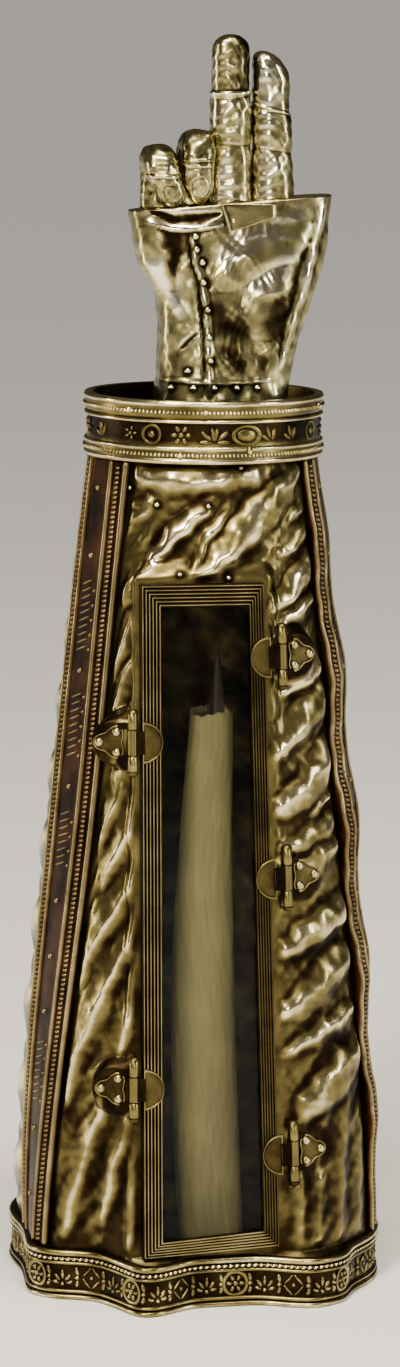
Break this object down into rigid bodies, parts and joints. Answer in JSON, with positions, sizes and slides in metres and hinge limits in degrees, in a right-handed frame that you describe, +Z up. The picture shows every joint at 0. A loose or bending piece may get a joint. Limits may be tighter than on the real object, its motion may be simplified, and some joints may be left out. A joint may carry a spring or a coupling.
{
  "type": "arm reliquary",
  "caption": "Tall tapering sleeve of embossed gilt sheet with a hinged glazed door over a relic bone, topped by a moulded collar and a raised hand.",
  "frame": {"origin": "middle of the flat underside of the floor plate, on the surface that the reliquary stands on", "axes": "+Z up along the arm to the fingertips, -Y out of the glazed door, +X to the right of the door"},
  "size_m": [0.1852, 0.1663, 0.6213],
  "materials": {
    "gilt_silver": "tarnished gilding on embossed sheet, worn bright on the raised parts",
    "dark_silver": "darkened sheet with worn gilding",
    "clear_glass": "clear old pane",
    "old_bone": "dry bone, matt and yellowed"
  },
  "bodies": {
    "case": {"sleeve": "gilt_silver", "floor_plate": "dark_silver", "base_band": "gilt_silver", "collar": "gilt_silver", "band_left": "dark_silver", "band_right": "dark_silver", "hinge_top": "gilt_silver", "hinge_middle": "gilt_silver", "hinge_lower": "gilt_silver", "catch_top": "gilt_silver", "catch_lower": "gilt_silver", "relic_bone": "old_bone", "palm": "gilt_silver", "raised_finger_left": "gilt_silver", "raised_finger_right": "gilt_silver", "folded_finger_ring": "gilt_silver", "folded_finger_little": "gilt_silver", "cuff_plate": "gilt_silver"},
    "door": {"door_frame": "gilt_silver", "glass_pane": "clear_glass", "hinge_leaf_top": "gilt_silver", "hinge_leaf_middle": "gilt_silver", "hinge_leaf_lower": "gilt_silver", "catch_leaf_top": "gilt_silver", "catch_leaf_lower": "gilt_silver"}
  },
  "joints": [
    {"name": "door_hinge", "type": "hinge", "parent": "case", "child": "door", "pos_m": [0.03485, -0.07418, 0.0765], "axis": [-0.0288, 0.054, 0.9981], "range_deg": [0, 95]}
  ]
}
